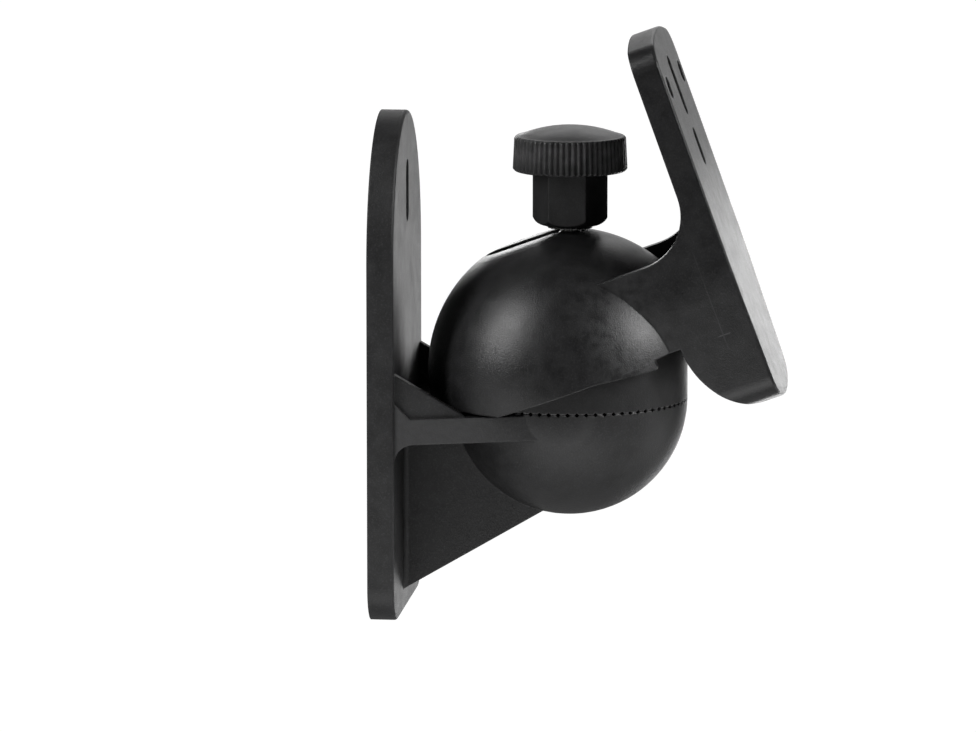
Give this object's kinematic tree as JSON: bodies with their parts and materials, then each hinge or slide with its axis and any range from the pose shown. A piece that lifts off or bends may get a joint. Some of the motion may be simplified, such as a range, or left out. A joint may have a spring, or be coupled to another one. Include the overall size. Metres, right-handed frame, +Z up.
{
  "type": "speaker wall bracket",
  "caption": "Black moulded wall bracket for a small speaker: toothed ball swivel that pans on a wall plate and tilts under a domed arm, clamped by a fluted thumb knob",
  "frame": {"origin": "on the wall plate's back face, on the centre plane, level with the cup's toothed rim", "axes": "+X leaves the wall toward the speaker, +Z up, +Y to the left of someone who faces the wall plate's front"},
  "size_m": [0.089, 0.062, 0.1282],
  "materials": {
    "black_plastic": "fine moulded texture, soft sheen",
    "knob_plastic": "fine moulded texture",
    "plated_steel": "bright plated steel"
  },
  "bodies": {
    "wall": {"wall_bracket": "black_plastic", "captive_nut": "plated_steel"},
    "swivel": {"swivel_core": "black_plastic"},
    "arm": {"speaker_arm": "black_plastic"},
    "washer": {"lock_washer": "plated_steel"},
    "knob": {"knob": "knob_plastic", "clamp_screw": "plated_steel"}
  },
  "joints": [
    {"name": "pan", "type": "hinge", "parent": "wall", "child": "swivel", "pos_m": [0.0415, 0, 0], "axis": [0, 0, 1], "range_deg": [-60, 60]},
    {"name": "tilt", "type": "hinge", "parent": "swivel", "child": "arm", "pos_m": [0.0415, 0, 0.006], "axis": [0, 1, 0], "range_deg": [0, 30]},
    {"name": "clamp_lift", "type": "slide", "parent": "wall", "child": "washer", "axis": [0, 0, 1], "range_m": [0, 0.00125]},
    {"name": "knob_turn", "type": "hinge", "parent": "washer", "child": "knob", "pos_m": [0.0415, 0, 0], "axis": [0, 0, 1], "range_deg": [0, 540]}
  ],
  "couplings": [
    {"joint": "clamp_lift", "follows": "knob_turn", "m_per_rad": 0.00012732}
  ]
}
